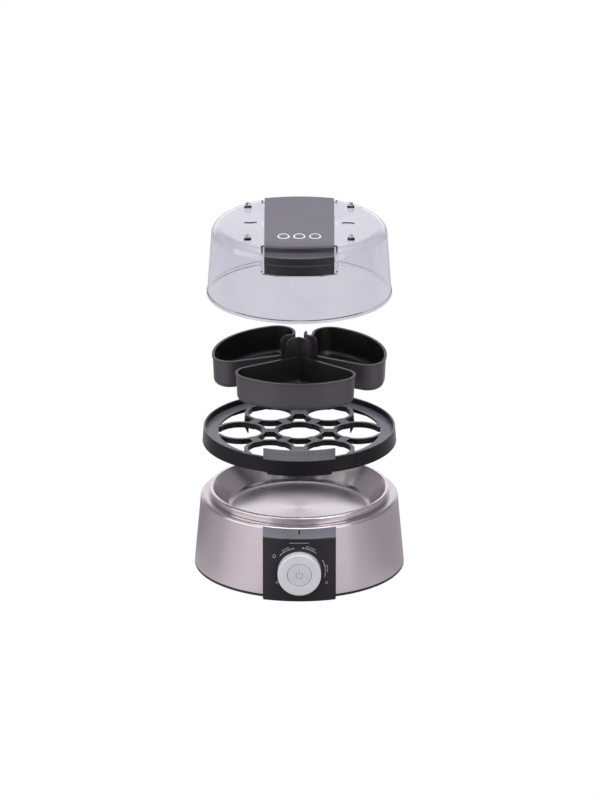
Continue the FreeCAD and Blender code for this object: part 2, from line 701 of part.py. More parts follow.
def lid_shell():
    outside = lid_outside()
    lid = outside.cut(lid_hollow())
    wall = 1.5
    cradle = pocket(POCKET_HALF + wall, POCKET_DEPTH - wall, POCKET_FLOOR - wall).common(outside)
    lid = lid.fuse([cradle, turned(cradle, 180)])
    for side in (0, 180):
        lid = lid.cut(turned(pocket(POCKET_HALF, POCKET_DEPTH, POCKET_FLOOR), side))
        lid = lid.cut(turned(steam_slot(), side))
        for x in (-20, 20):
            lid = lid.cut(turned(post(1.65, x, -69, 40, 50), side))
    studs = [raised_by(lid_stud(), x, y) for x in (-STUD_X, STUD_X) for y in (-STUD_Y, STUD_Y)]
    lid = lid.fuse([stud.cut(lid_hollow()) for stud in studs])
    notch = front_slab([(-1.5, -1), (1.5, -1), (0, 1.8)], 75, 90)
    return raised(lid.cut(notch).removeSplitter(), LID_Z)


def strap_disc(arc, reach):
    """Flat disc with a rounded upper edge, whose rim crosses the middle plane at this reach."""
    disc = spin([(0, HANDLE_UNDER_H), (arc, HANDLE_UNDER_H), (arc, HANDLE_H, HANDLE_NOSE_R),
                 (0, HANDLE_H)])
    return raised_by(disc, 0, arc - reach)


def lid_handle():
    outline = [(-HANDLE_HALF, -80), (HANDLE_HALF, -80), (HANDLE_HALF, HANDLE_REAR_REACH, 9),
               (-HANDLE_HALF, HANDLE_REAR_REACH, 9)]
    strap = slab(outline, 60, 80).common(strap_disc(HANDLE_FRONT_ARC, HANDLE_REACH))
    strap = strap.common(turned(strap_disc(HANDLE_REAR_ARC, HANDLE_REAR_REACH), 180))
    between = block(-40, 40, -POCKET_DEPTH, POCKET_DEPTH, 0, 90)
    return raised(strap.cut(lid_outside().common(between)), LID_Z)


def lid_grip(side):
    """Hollow handle end in the lid's pocket, with a step across its front face."""
    low = POCKET_FLOOR + 0.1
    half = HANDLE_HALF
    outer = spin([
        (0, low), (GRIP_R + 0.4, low, 0.6), (GRIP_R + 0.4, 53.9, 0.3), (GRIP_R - 0.7, 54.5),
        (GRIP_R - 0.7, GRIP_TOP, 0.8), (0, GRIP_TOP)])
    body = outer.common(block(-half, half, -100, -POCKET_DEPTH - 0.3, 0, 90))
    riser = block(-half, half, -POCKET_DEPTH - 3.3, -POCKET_DEPTH - 0.3, GRIP_TOP - 1, 65.1)
    wall = 2.2
    inner = post(GRIP_R - wall, 0, 0, 40, GRIP_TOP - wall).common(
        block(wall - half, half - wall, -100, -POCKET_DEPTH - 2.5, 0, 90))
    bosses = [post(3.6, x, -69, low, GRIP_TOP - 1) for x in (-20, 20)]
    grip = body.fuse(riser).cut(inner).fuse(bosses)
    for x in (-20, 20):
        grip = grip.cut(post(1.55, x, -69, 40, 56))
    return raised(turned(grip.removeSplitter(), side), LID_Z)


def lid_screws():
    base = POCKET_FLOOR - 1.5
    pieces = [turned(screw(x, -69, base - 1.9, 55, 1.5, 2.8, 1.85), side)
              for side in (0, 180) for x in (-20, 20)]
    return raised(Part.makeCompound(pieces), LID_Z)


PARTS = {
    "outer_shell": outer_shell, "water_bowl": water_bowl, "bowl_seal": bowl_seal,
    "base_tray": base_tray, "foot_pads": foot_pads, "control_panel": control_panel,
    "indicator_lens": indicator_lens, "heater_plate": heater_plate,
    "heater_element": heater_element, "plate_standoffs": plate_standoffs,
    "tray_screws": tray_screws, "thermostat": thermostat,
    "thermostat_bracket": thermostat_bracket, "thermal_fuse": thermal_fuse,
    "control_board": control_board, "board_screws": board_screws, "panel_screws": panel_screws,
    "rotary_sensor": rotary_sensor, "start_switch": start_switch, "buzzer": buzzer,
    "indicator_led": indicator_led, "terminal_block": terminal_block, "cord_gland": cord_gland,
    "cord_clamp": cord_clamp, "clamp_screws": clamp_screws, "inner_leads": inner_leads,
    "knob_ring": knob_ring, "knob_hub": knob_hub, "knob_pointer": knob_pointer,
    "start_button": start_button, "button_spring": button_spring,
    "egg_rack": egg_rack,
    "cup_front": lambda: poaching_cup(-90), "cup_left": lambda: poaching_cup(150),
    "cup_right": lambda: poaching_cup(30),
    "lid_shell": lid_shell, "lid_handle": lid_handle, "lid_grip_front": lambda: lid_grip(0),
    "lid_grip_rear": lambda: lid_grip(180), "lid_screws": lid_screws,
}

os.makedirs("parts", exist_ok=True)
for name, make in PARTS.items():
    shape = make()
    shape.exportStep(f"parts/{name}.step")
    print(f"{name:20s} solids {len(shape.Solids)}  volume {shape.Volume:9.0f}  valid {shape.isValid()}")
print(f"lifts: rack {RACK_LIFT:.2f}, cups {CUPS_LIFT:.2f}, lid {LID_LIFT:.2f}, "
      f"button {BUTTON_TRAVEL:.2f}")
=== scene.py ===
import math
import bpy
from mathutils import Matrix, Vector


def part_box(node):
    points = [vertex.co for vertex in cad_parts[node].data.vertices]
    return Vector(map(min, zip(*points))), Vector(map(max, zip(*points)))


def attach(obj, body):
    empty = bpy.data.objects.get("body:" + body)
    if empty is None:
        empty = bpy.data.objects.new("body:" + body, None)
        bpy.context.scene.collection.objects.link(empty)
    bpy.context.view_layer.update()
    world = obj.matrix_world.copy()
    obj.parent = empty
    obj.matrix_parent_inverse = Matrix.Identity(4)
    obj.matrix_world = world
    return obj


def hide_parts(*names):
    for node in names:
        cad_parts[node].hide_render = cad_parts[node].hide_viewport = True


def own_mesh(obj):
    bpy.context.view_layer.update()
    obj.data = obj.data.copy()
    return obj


bl_info = {
    "name": "Egg Cooker Finishes",
    "version": (1, 0, 0),
    "blender": (4, 5, 0),
    "location": "3D View > Sidebar > Egg Cooker",
    "description": "Finishes, printed marks and studio for an electric egg cooker",
    "category": "Object",
}

import bmesh
import bpy
from bpy.props import FloatProperty, FloatVectorProperty, PointerProperty
from mathutils import Matrix, Vector

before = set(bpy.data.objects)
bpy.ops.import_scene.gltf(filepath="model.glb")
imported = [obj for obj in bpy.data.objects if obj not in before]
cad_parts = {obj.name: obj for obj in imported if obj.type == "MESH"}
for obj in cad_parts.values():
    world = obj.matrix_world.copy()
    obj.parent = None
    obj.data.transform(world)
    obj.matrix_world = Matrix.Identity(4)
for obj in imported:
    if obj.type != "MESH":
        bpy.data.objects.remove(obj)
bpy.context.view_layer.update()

MM = 0.001
PANEL_RADIUS = -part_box("control_panel")[0].y
BUTTON_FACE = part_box("start_button")[0].y
LID_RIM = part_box("lid_shell")[0].z
STRAP_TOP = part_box("lid_handle")[1].z
DIAL_CENTRE = sum(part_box("knob_ring"), Vector()) / 2


# ---------------------------------------------------------------- settings

def size(name, default, description):
    return FloatProperty(name=name, description=description, default=default, min=0.0,
                         subtype="DISTANCE", unit="LENGTH")


def colour(name, default, description):
    return FloatVectorProperty(name=name, description=description, default=default, size=3,
                               min=0.0, max=1.0, subtype="COLOR")


class EggCookerColours(bpy.types.PropertyGroup):
    steel: colour("Steel", (0.69, 0.627, 0.645), "Brushed shell of the base")
    bowl: colour("Bowl", (0.74, 0.69, 0.70), "Spun water bowl")
    black: colour("Black plastic", (0.0075, 0.0068, 0.0085), "Rack, panel and handle ends")
    strap: colour("Strap", (0.135, 0.128, 0.155), "Grey strap over the lid")
    coating: colour("Coating", (0.012, 0.0105, 0.011), "Non-stick coating inside the cups")
    cup_outside: colour("Cup outside", (0.055, 0.050, 0.060), "Enamel outside the cups")
    # Painted sheen: lighter tone for upward faces of black parts, standing in for light from above.
    top_sheen_paint: colour("Top faces", (0.20, 0.195, 0.222), "Painted sheen on upward faces of black parts")
    silver: colour("Silver", (0.90, 0.90, 0.94), "Lacquered dial and button")
    clear: colour("Clear plastic", (0.955, 0.952, 0.975), "Lid")
    print_white: colour("White print", (0.50, 0.50, 0.53), "Marks round the dial")
    print_grey: colour("Grey print", (0.36, 0.36, 0.40), "Mark on the push button")


class EggCookerPrint(bpy.types.PropertyGroup):
    scale_radius: size("Scale radius", 24.4 * MM, "Middle radius of the arcs round the dial")
    scale_width: size("Scale width", 0.9 * MM, "Width of the marks round the dial")
    heading_height: size("Heading height", 28.0 * MM, "Height of the heading over the dial")
    heading_pitch: size("Heading pitch", 1.65 * MM, "Distance between the heading's dashes")
    ink: size("Ink thickness", 0.06 * MM, "Height of the print above the surface")
    egg_length: size("Egg mark length", 3.6 * MM, "Length of the egg mark beside the dial")
    emblem_length: size("Emblem length", 14.5 * MM, "Length of each egg on the strap")
    emblem_line: size("Emblem line", 1.9 * MM, "Width of the line of each egg on the strap")
    emblem_reach: size("Emblem reach", 43.0 * MM, "How far in front of the lid's axis the eggs are")


class EggCookerStudio(bpy.types.PropertyGroup):
    distance: size("Camera distance", 12.0, "Distance from the camera to the cooker")
    elevation: FloatProperty(name="Camera elevation", description="Angle above the horizon",
                             default=math.radians(20.5), subtype="ANGLE", unit="ROTATION")
    view_height: size("View height", 0.7248, "Height of the picture at the cooker")
    aim_height: size("Aim height", 0.1564, "Height that the camera looks at")
    aim_side: size("Aim side", 0.0006, "How far right of the axis the camera looks")
    floor_size: size("Floor size", 8.0, "Side of the square floor")
    box_brightness: FloatProperty(name="Soft box brightness", default=1.3, min=0.0,
                                  description="Radiance of the boxes left and right")
    top_brightness: FloatProperty(name="Top light brightness", default=1.6, min=0.0,
                                  description="Radiance of the light overhead")


# ---------------------------------------------------------------- shader helpers

def add_node(tree, kind, inputs=None, **settings):
    node = tree.nodes.new(kind)
    for name, value in settings.items():
        setattr(node, name, value)
    for name, value in (inputs or {}).items():
        node.inputs[name].default_value = value
    return node


def join(tree, *pairs):
    for source, target in pairs:
        tree.links.new(source, target)


def new_group(name, inputs, outputs):
    """Shader group with (name, socket type, default) inputs and (name, socket type) outputs."""
    group = bpy.data.node_groups.new(name, "ShaderNodeTree")
    for label, kind, default in inputs:
        socket = group.interface.new_socket(label, in_out="INPUT", socket_type=kind)
        socket.default_value = default
    for label, kind in outputs:
        group.interface.new_socket(label, in_out="OUTPUT", socket_type=kind)
    return group, group.nodes.new("NodeGroupInput"), group.nodes.new("NodeGroupOutput")


COLOUR, FLOAT, VECTOR = "NodeSocketColor", "NodeSocketFloat", "NodeSocketVector"
SURFACE = [("Colour", COLOUR), ("Roughness", FLOAT), ("Normal", VECTOR)]


def moulded_grain_group():
    """Fine spark-eroded texture, uneven sheen and softened edges of moulded parts."""
    group, source, result = new_group("Moulded grain", [
        ("Colour", COLOUR, (0.02, 0.02, 0.02, 1.0)), ("Roughness", FLOAT, 0.4),
        ("Grain scale", FLOAT, 2500.0), ("Grain depth", FLOAT, 0.15),
        ("Unevenness", FLOAT, 0.1), ("Edge radius", FLOAT, 0.0004)], SURFACE)
    place = add_node(group, "ShaderNodeTexCoord")
    grain = add_node(group, "ShaderNodeTexNoise", {"Detail": 3.0, "Roughness": 0.6})
    patches = add_node(group, "ShaderNodeTexNoise", {"Scale": 45.0, "Detail": 4.0})
    shift = add_node(group, "ShaderNodeMapRange", {"From Min": 0.3, "From Max": 0.7,
                                                   "To Min": -1.0, "To Max": 1.0})
    uneven = add_node(group, "ShaderNodeMath", operation="MULTIPLY")
    rough = add_node(group, "ShaderNodeMath", operation="MULTIPLY_ADD", use_clamp=True)
    gain = add_node(group, "ShaderNodeMath", operation="ADD")
    gain.inputs[1].default_value = 1.0
    tint = add_node(group, "ShaderNodeVectorMath", operation="SCALE")
    edge = add_node(group, "ShaderNodeBevel", samples=6)
    bump = add_node(group, "ShaderNodeBump", {"Distance": 0.00005})
    join(group,
         (place.outputs["Object"], grain.inputs["Vector"]),
         (place.outputs["Object"], patches.inputs["Vector"]),
         (source.outputs["Grain scale"], grain.inputs["Scale"]),
         (patches.outputs["Fac"], shift.inputs["Value"]),
         (shift.outputs["Result"], uneven.inputs[0]),
         (source.outputs["Unevenness"], uneven.inputs[1]),
         (uneven.outputs[0], rough.inputs[0]),
         (source.outputs["Roughness"], rough.inputs[1]),
         (source.outputs["Roughness"], rough.inputs[2]),
         (uneven.outputs[0], gain.inputs[0]),
         (source.outputs["Colour"], tint.inputs[0]),
         (gain.outputs[0], tint.inputs["Scale"]),
         (source.outputs["Edge radius"], edge.inputs["Radius"]),
         (edge.outputs["Normal"], bump.inputs["Normal"]),
         (grain.outputs["Fac"], bump.inputs["Height"]),
         (source.outputs["Grain depth"], bump.inputs["Strength"]),
         (tint.outputs["Vector"], result.inputs["Colour"]),
         (rough.outputs[0], result.inputs["Roughness"]),
         (bump.outputs["Normal"], result.inputs["Normal"]))
    return group


def brushed_lines_group():
    """Long scratches of a brushed or spun surface, drawn across the given coordinates."""
    group, source, result = new_group("Brushed lines", [
        ("Vector", VECTOR, (0.0, 0.0, 0.0)), ("Colour", COLOUR, (0.6, 0.6, 0.6, 1.0)),
        ("Roughness", FLOAT, 0.3), ("Contrast", FLOAT, 0.1), ("Depth", FLOAT, 0.2),
        ("Edge radius", FLOAT, 0.0005)], SURFACE)
    fine = add_node(group, "ShaderNodeTexNoise", {"Scale": 1.0, "Detail": 5.0, "Roughness": 0.7})
    broad = add_node(group, "ShaderNodeTexNoise", {"Scale": 0.18, "Detail": 2.0})
    both = add_node(group, "ShaderNodeMath", operation="MULTIPLY_ADD")
    both.inputs[1].default_value = 0.6
    shift = add_node(group, "ShaderNodeMapRange", {"From Min": 0.55, "From Max": 1.05,
                                                   "To Min": -1.0, "To Max": 1.0})
    uneven = add_node(group, "ShaderNodeMath", operation="MULTIPLY")
    gain = add_node(group, "ShaderNodeMath", operation="ADD")
    gain.inputs[1].default_value = 1.0
    rough = add_node(group, "ShaderNodeMath", operation="MULTIPLY_ADD", use_clamp=True)
    tint = add_node(group, "ShaderNodeVectorMath", operation="SCALE")
    edge = add_node(group, "ShaderNodeBevel", samples=6)
    bump = add_node(group, "ShaderNodeBump", {"Distance": 0.00003})
    join(group,
         (source.outputs["Vector"], fine.inputs["Vector"]),
         (source.outputs["Vector"], broad.inputs["Vector"]),
         (broad.outputs["Fac"], both.inputs[0]),
         (fine.outputs["Fac"], both.inputs[2]),
         (both.outputs[0], shift.inputs["Value"]),
         (shift.outputs["Result"], uneven.inputs[0]),
         (source.outputs["Contrast"], uneven.inputs[1]),
         (uneven.outputs[0], gain.inputs[0]),
         (source.outputs["Colour"], tint.inputs[0]),
         (gain.outputs[0], tint.inputs["Scale"]),
         (uneven.outputs[0], rough.inputs[0]),
         (source.outputs["Roughness"], rough.inputs[1]),
         (source.outputs["Roughness"], rough.inputs[2]),
         (source.outputs["Edge radius"], edge.inputs["Radius"]),
         (edge.outputs["Normal"], bump.inputs["Normal"]),
         (fine.outputs["Fac"], bump.inputs["Height"]),
         (source.outputs["Depth"], bump.inputs["Strength"]),
         (tint.outputs["Vector"], result.inputs["Colour"]),
         (rough.outputs[0], result.inputs["Roughness"]),
         (bump.outputs["Normal"], result.inputs["Normal"]))
    return group


def shared_group(name, build):
    return bpy.data.node_groups.get(name) or build()


def new_material(name, **shader):
    """Material with these values set on its own shader sockets."""
    material = bpy.data.materials.new(name)
    material.use_nodes = True
    tree = material.node_tree
    bsdf = tree.nodes["Principled BSDF"]
    for label, value in shader.items():
        bsdf.inputs[label.replace("_", " ")].default_value = value
    material.diffuse_color = (0.5, 0.5, 0.5, 1.0)
    return material, tree, bsdf


def surface_from(tree, bsdf, group, values):
    """Places a surface group in a material and joins it to the shader."""
    holder = add_node(tree, "ShaderNodeGroup", node_tree=group)
    for label, value in values.items():
        holder.inputs[label].default_value = value
    join(tree,
         (holder.outputs["Colour"], bsdf.inputs["Base Color"]),
         (holder.outputs["Roughness"], bsdf.inputs["Roughness"]),
         (holder.outputs["Normal"], bsdf.inputs["Normal"]))
    return holder


def opaque(rgb):
    return (rgb[0], rgb[1], rgb[2], 1.0)


def moulded(name, rgb, roughness, grain_depth=0.15, grain_scale=2500.0, unevenness=0.1,
            edge=0.0004, **shader):
    material, tree, bsdf = new_material(name, **shader)
    group = shared_group("Moulded grain", moulded_grain_group)
    surface_from(tree, bsdf, group, {
        "Colour": opaque(rgb), "Roughness": roughness, "Grain scale": grain_scale,
        "Grain depth": grain_depth, "Unevenness": unevenness, "Edge radius": edge})
    return material


def brushed(name, rgb, roughness, stretch, contrast=0.1, depth=0.2, spun=False, edge=0.0005,
            **shader):
    """Metal with lines along X and Y slow and Z fast, or with rings round the Z axis."""
    material, tree, bsdf = new_material(name, Metallic=1.0, **shader)
    place = add_node(tree, "ShaderNodeTexCoord")
    spread = add_node(tree, "ShaderNodeMapping")
    spread.inputs["Scale"].default_value = stretch
    if spun:
        apart = add_node(tree, "ShaderNodeSeparateXYZ")
        flat = add_node(tree, "ShaderNodeCombineXYZ")
        length = add_node(tree, "ShaderNodeVectorMath", operation="LENGTH")
        turned = add_node(tree, "ShaderNodeCombineXYZ")
        join(tree,
             (place.outputs["Object"], apart.inputs[0]),
             (apart.outputs["X"], flat.inputs["X"]), (apart.outputs["Y"], flat.inputs["Y"]),
             (flat.outputs[0], length.inputs[0]),
             (length.outputs["Value"], turned.inputs["X"]),
             (apart.outputs["Z"], turned.inputs["Z"]),
             (turned.outputs[0], spread.inputs["Vector"]))
    else:
        join(tree, (place.outputs["Object"], spread.inputs["Vector"]))
    group = shared_group("Brushed lines", brushed_lines_group)
    holder = surface_from(tree, bsdf, group, {
        "Colour": opaque(rgb), "Roughness": roughness, "Contrast": contrast, "Depth": depth,
        "Edge radius": edge})
    tangent = add_node(tree, "ShaderNodeTangent", direction_type="RADIAL", axis="Z")
    join(tree, (spread.outputs["Vector"], holder.inputs["Vector"]),
         (tangent.outputs["Tangent"], bsdf.inputs["Tangent"]))
    return material


def two_tone(tree, holder, first, second, mask):
    """Colours a surface group with the first tone where the mask is 0 and the second where it is 1."""
    tone = add_node(tree, "ShaderNodeMix", data_type="RGBA")
    tone.inputs[6].default_value = opaque(first)
    tone.inputs[7].default_value = opaque(second)
    join(tree, (mask, tone.inputs[0]), (tone.outputs[2], holder.inputs["Colour"]))


def paint_top_sheen(material, base, top, least_rise):
    """Paints faces whose normal rises at least this much a lighter tone: painted sheen for light from
    above.
    """
    tree = material.node_tree
    holder = next(node for node in tree.nodes if node.type == "GROUP")
    facing = add_node(tree, "ShaderNodeNewGeometry")
    apart = add_node(tree, "ShaderNodeSeparateXYZ")
    upward = add_node(tree, "ShaderNodeMapRange", {"From Min": least_rise,
                                                   "From Max": least_rise + 0.12})
    join(tree, (facing.outputs["True Normal"], apart.inputs[0]),
         (apart.outputs["Z"], upward.inputs["Value"]))
    two_tone(tree, holder, base, top, upward.outputs["Result"])
    return material


def zinc_plate(name):
    return brushed(name, (0.60, 0.60, 0.57), 0.3, (1500.0, 1500.0, 300.0))


def white_when_looked_at(tree, light, target):
    """Shows plain white to the eye and this light to everything else."""
    seen = add_node(tree, "ShaderNodeLightPath")
    shown = add_node(tree, "ShaderNodeMix", data_type="RGBA")
    shown.inputs[7].default_value = (1.0, 1.0, 1.0, 1.0)
    join(tree, (seen.outputs["Is Camera Ray"], shown.inputs[0]), (light, shown.inputs[6]),
         (shown.outputs[2], target))


def wear(names, material):
    """Gives CAD nodes a finish."""
    for name in names:
        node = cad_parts[name]
        node.data.materials.clear()
        node.data.materials.append(material)


# ---------------------------------------------------------------- mesh helpers

def new_object(name, bm, material):
    mesh_data = bpy.data.meshes.new(name)
    bm.to_mesh(mesh_data)
    bm.free()
    made = bpy.data.objects.new(name, mesh_data)
    bpy.context.scene.collection.objects.link(made)
    made.data.materials.append(material)
    return made


def new_piece(name, bm, material, body):
    piece = new_object(name, bm, material)
    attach(piece, body)
    return piece


def ribbon(bm, radius, width, start, end, steps=24):
    """Flat arc in the XZ plane, angles in degrees clockwise from +Z seen from the front."""
    inner = Vector((0.0, 0.0, radius - width / 2))
    outer = Vector((0.0, 0.0, radius + width / 2))
    pair = [bm.verts.new(inner), bm.verts.new(outer)]
    edge = bm.edges.new(pair)
    bmesh.ops.rotate(bm, verts=pair, cent=(0, 0, 0),
                     matrix=Matrix.Rotation(math.radians(start), 3, "Y"))
    bmesh.ops.spin(bm, geom=pair + [edge], cent=(0, 0, 0), axis=(0, 1, 0),
                   angle=math.radians(end - start), steps=steps)


def egg_loop(bm, length, width, steps=28):
    """Outline of an egg standing in the XZ plane, as a ribbon of the given width."""
    broad, taper = 0.76, 0.16
    rings = []
    for grow in (0.0, -width):
        ring = bmesh.ops.create_circle(bm, segments=steps, radius=length / 2 + grow)["verts"]
        bmesh.ops.rotate(bm, verts=ring, cent=(0, 0, 0), matrix=Matrix.Rotation(math.pi / 2, 3, "X"))
        for vert in ring:
            vert.co.x *= broad - taper * vert.co.z / (length / 2)
        rings.append(ring)
    edges = [edge for edge in bm.edges if all(v in rings[0] or v in rings[1] for v in edge.verts)]
    bmesh.ops.bridge_loops(bm, edges=edges)


def moved_verts(bm, before, offset):
    """Moves the vertices made since the given set."""
    verts = [v for v in bm.verts if v not in before]
    bmesh.ops.translate(bm, verts=verts, vec=offset)


def dash(bm, x, low, high, half_width):
    """Upright bar in the XZ plane."""
    corners = [(x - half_width, low), (x + half_width, low), (x + half_width, high),
               (x - half_width, high)]
    bm.faces.new([bm.verts.new((across, 0.0, up)) for across, up in corners])


def printed(name, build, on_surface, ink, material, body):
    """Print made flat by build, wrapped by on_surface, then given its ink thickness outwards."""
    longest_edge = 1.5 * MM
    bm = bmesh.new()
    build(bm)
    bmesh.ops.remove_doubles(bm, verts=bm.verts, dist=1e-6)
    bmesh.ops.subdivide_edges(bm, edges=[e for e in bm.edges if e.calc_length() > longest_edge],
                              cuts=2, use_grid_fill=True)
    for vert in bm.verts:
        vert.co = on_surface(vert.co)
    bmesh.ops.recalc_face_normals(bm, faces=bm.faces)
    bmesh.ops.solidify(bm, geom=bm.faces[:], thickness=ink)
    bmesh.ops.recalc_face_normals(bm, faces=bm.faces)
    return new_piece(name, bm, material, body)


# ---------------------------------------------------------------- pieces

class EGG_OT_base(bpy.types.Operator):
    """Finishes the steel shell, the water bowl and the foot of the base"""
    bl_idname = "egg_cooker.base"
    bl_label = "Base finishes"

    def execute(self, context):
        tones = context.scene.egg_cooker_colours
        wear(["outer_shell"], brushed("Cross brushed steel", tones.steel, 0.27,
                                      (1.5, 1.5, 1500.0), contrast=0.02, depth=0.005,
                                      Anisotropic=0.65, Anisotropic_Rotation=0.25))
        wear(["water_bowl"], brushed("Spun steel", tones.bowl, 0.22, (3200.0, 1.0, 3200.0),
                                     contrast=0.05, depth=0.10, spun=True, Anisotropic=0.7,
                                     Anisotropic_Rotation=0.25))
        wear(["base_tray"], moulded("Foot plastic", tones.black, 0.45))
        wear(["foot_pads", "bowl_seal", "cord_gland"],
             moulded("Soft rubber", (0.016, 0.016, 0.016), 0.75, grain_depth=0.4))
        return {"FINISHED"}


class EGG_OT_inside(bpy.types.Operator):
    """Finishes the heater, the control board and the fixings inside the base"""
    bl_idname = "egg_cooker.inside"
    bl_label = "Inner finishes"

    def execute(self, context):
        tones = context.scene.egg_cooker_colours
        wear(["heater_plate"], brushed("Cast aluminium", (0.58, 0.58, 0.59), 0.45,
                                       (700.0, 700.0, 700.0), contrast=0.12))
        wear(["heater_element"], brushed("Annealed heater tube", (0.24, 0.21, 0.19), 0.5,
                                         (400.0, 400.0, 900.0), contrast=0.25))
        wear(["plate_standoffs", "tray_screws", "board_screws", "panel_screws", "clamp_screws",
              "lid_screws", "thermostat_bracket", "button_spring"],
             zinc_plate("Zinc plated steel"))
        wear(["thermostat", "thermal_fuse"],
             moulded("Ceramic", (0.72, 0.68, 0.58), 0.55, grain_depth=0.3, unevenness=0.15))
        wear(["control_board"], moulded("Board laminate", (0.015, 0.10, 0.045), 0.3,
                                        grain_depth=0.25, grain_scale=900.0, Coat_Weight=0.4))
        wear(["rotary_sensor", "start_switch", "buzzer", "cord_clamp"],
             moulded("Switch plastic", tones.black, 0.5))
        wear(["terminal_block"], moulded("Terminal plastic", (0.72, 0.70, 0.62), 0.5))
        wear(["inner_leads"], moulded("Silicone sleeve", (0.62, 0.58, 0.48), 0.6,
                                      grain_scale=1400.0, grain_depth=0.3))
        return {"FINISHED"}


class EGG_OT_panel(bpy.types.Operator):
    """Finishes the control panel and prints the marks round the dial"""
    bl_idname = "egg_cooker.panel"
    bl_label = "Control panel"

    def execute(self, context):
        tones = context.scene.egg_cooker_colours
        sizes = context.scene.egg_cooker_print
        face = [2.2 * c for c in tones.black]
        # Upward faces of the panel get painted sheen, a lighter tone for light from above.
        wear(["control_panel"], paint_top_sheen(moulded("Panel plastic", face, 0.30, grain_depth=0.12),
                                          face, [1.08 * c for c in tones.top_sheen_paint], 0.75))
        wear(["indicator_lens", "indicator_led"],
             moulded("Lamp lens", (0.20, 0.20, 0.22), 0.12, grain_depth=0.05, Coat_Weight=0.5))
        white = moulded("White print", tones.print_white, 0.5, grain_depth=0.1, edge=0.0001)

        def on_panel(point):
            x = point.x
            return Vector((x, -math.sqrt(PANEL_RADIUS ** 2 - x * x) - sizes.ink * 0.25,
                           point.z + DIAL_CENTRE.z))

        def heading(bm):
            for column in range(-5, 6):
                dash(bm, column * sizes.heading_pitch, sizes.heading_height - 0.28 * MM,
                     sizes.heading_height + 0.28 * MM, 0.62 * MM)

        def broken_arc(bm, radius, width, start, end):
            """Dashes of uneven length, like words set round the dial; angles in degrees."""
            angle, step, gap = start, 0, 1.5
            while angle < end:
                length = (4.6, 2.6, 5.8, 3.2)[step % 4]
                ribbon(bm, radius, width, angle, min(angle + length, end), steps=3)
                angle += length + gap
                step += 1

        def scale(bm):
            inner, outer = sizes.scale_radius - 0.9 * MM, sizes.scale_radius + 1.1 * MM
            for start, end in ((-48, -12), (6, 40), (62, 104)):
                broken_arc(bm, inner, sizes.scale_width, start, end)
            for start, end in ((-38, -22), (14, 36), (76, 92)):
                broken_arc(bm, outer, sizes.scale_width * 0.7, start, end)

        def egg_marks(bm):
            reach = sizes.scale_radius + 2.6 * MM
            for angle, length in ((-57, sizes.egg_length), (114, sizes.egg_length * 0.7)):
                before = set(bm.verts)
                egg_loop(bm, length, sizes.scale_width * 0.55)
                turn = math.radians(angle)
                moved_verts(bm, before, (reach * math.sin(turn), 0, reach * math.cos(turn)))

        for name, marks in (("panel_heading", heading), ("dial_scale", scale),
                            ("egg_marks", egg_marks)):
            printed(name, marks, on_panel, sizes.ink, white, "base")
        # Painted shade: a dark block over the slot in the sloping top.
        self.slot_shade(tones)
        return {"FINISHED"}

    def slot_shade(self, tones):
        """Dark block standing just proud of the slot across the panel's sloping top: painted shade of
        the groove.
        """
        lip_y, lip_z = -103.4 * MM, 61.2 * MM
        back_y, back_z = -89.6 * MM, 65.2 * MM
        width, depth = 1.3 * MM, 2.4 * MM
        bm = bmesh.new()
        bmesh.ops.create_cube(bm, size=1.0)
        for vert in bm.verts:
            at_lip, at_top = vert.co.y < 0, vert.co.z > 0
            height = (lip_z if at_lip else back_z) - (0.0 if at_top else depth)
            vert.co = (vert.co.x * width, lip_y if at_lip else back_y, height)
        # Black material for the block: painted shade of the slot.
        shade = moulded("Slot inlay", tones.black, 0.5, grain_depth=0.1, edge=0.0001)
        new_piece("slot_shade", bm, shade, "base")


